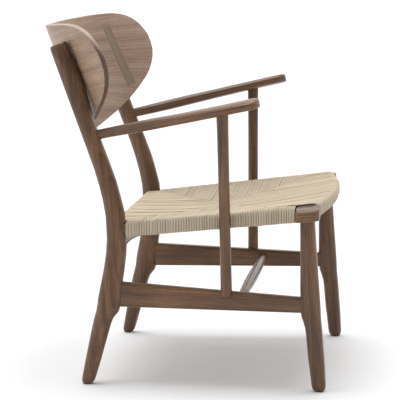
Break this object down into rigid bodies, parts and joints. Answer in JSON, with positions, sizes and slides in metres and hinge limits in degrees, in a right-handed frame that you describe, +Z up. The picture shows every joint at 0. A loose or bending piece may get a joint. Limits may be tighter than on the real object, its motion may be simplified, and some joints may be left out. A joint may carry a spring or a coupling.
{
  "type": "wooden armchair",
  "caption": "Low lounge armchair with a bent plywood back shell on raking rear posts, flat sloping arms, a woven paper-cord seat and turned and sawn stretchers.",
  "frame": {"origin": "on the floor, at the centre of the chair's box in plan", "axes": "+Z up, the sitter faces -Y, +X is the sitter's left, and x = 0 is the mirror plane"},
  "size_m": [0.7246, 0.6186, 0.7261],
  "materials": {
    "walnut": "oiled solid walnut, satin",
    "walnut_veneer": "oiled walnut veneer over bent plywood, satin",
    "strip_oak": "oiled lighter hardwood, satin",
    "dowel_birch": "bare turned dowel",
    "paper_cord": "natural twisted paper cord, matte",
    "steel": "plain steel screw"
  },
  "bodies": {
    "root": {"back_shell": "walnut_veneer", "cross_stretcher": "walnut", "front_seat_rail": "walnut", "left_arm": "walnut", "left_arm_post": "walnut", "left_cover_strip": "strip_oak", "left_front_leg": "walnut", "left_lap_dowel": "dowel_birch", "left_lower_screw": "steel", "left_rear_post": "walnut", "left_seat_dowel": "dowel_birch", "left_seat_rail": "walnut", "left_side_stretcher": "walnut", "left_upper_screw": "steel", "rear_arched_rail": "walnut", "rear_seat_rail": "walnut", "right_arm": "walnut", "right_arm_post": "walnut", "right_cover_strip": "strip_oak", "right_front_leg": "walnut", "right_lap_dowel": "dowel_birch", "right_lower_screw": "steel", "right_rear_post": "walnut", "right_seat_dowel": "dowel_birch", "right_seat_rail": "walnut", "right_side_stretcher": "walnut", "right_upper_screw": "steel", "woven_seat": "paper_cord"}
  },
  "joints": []
}
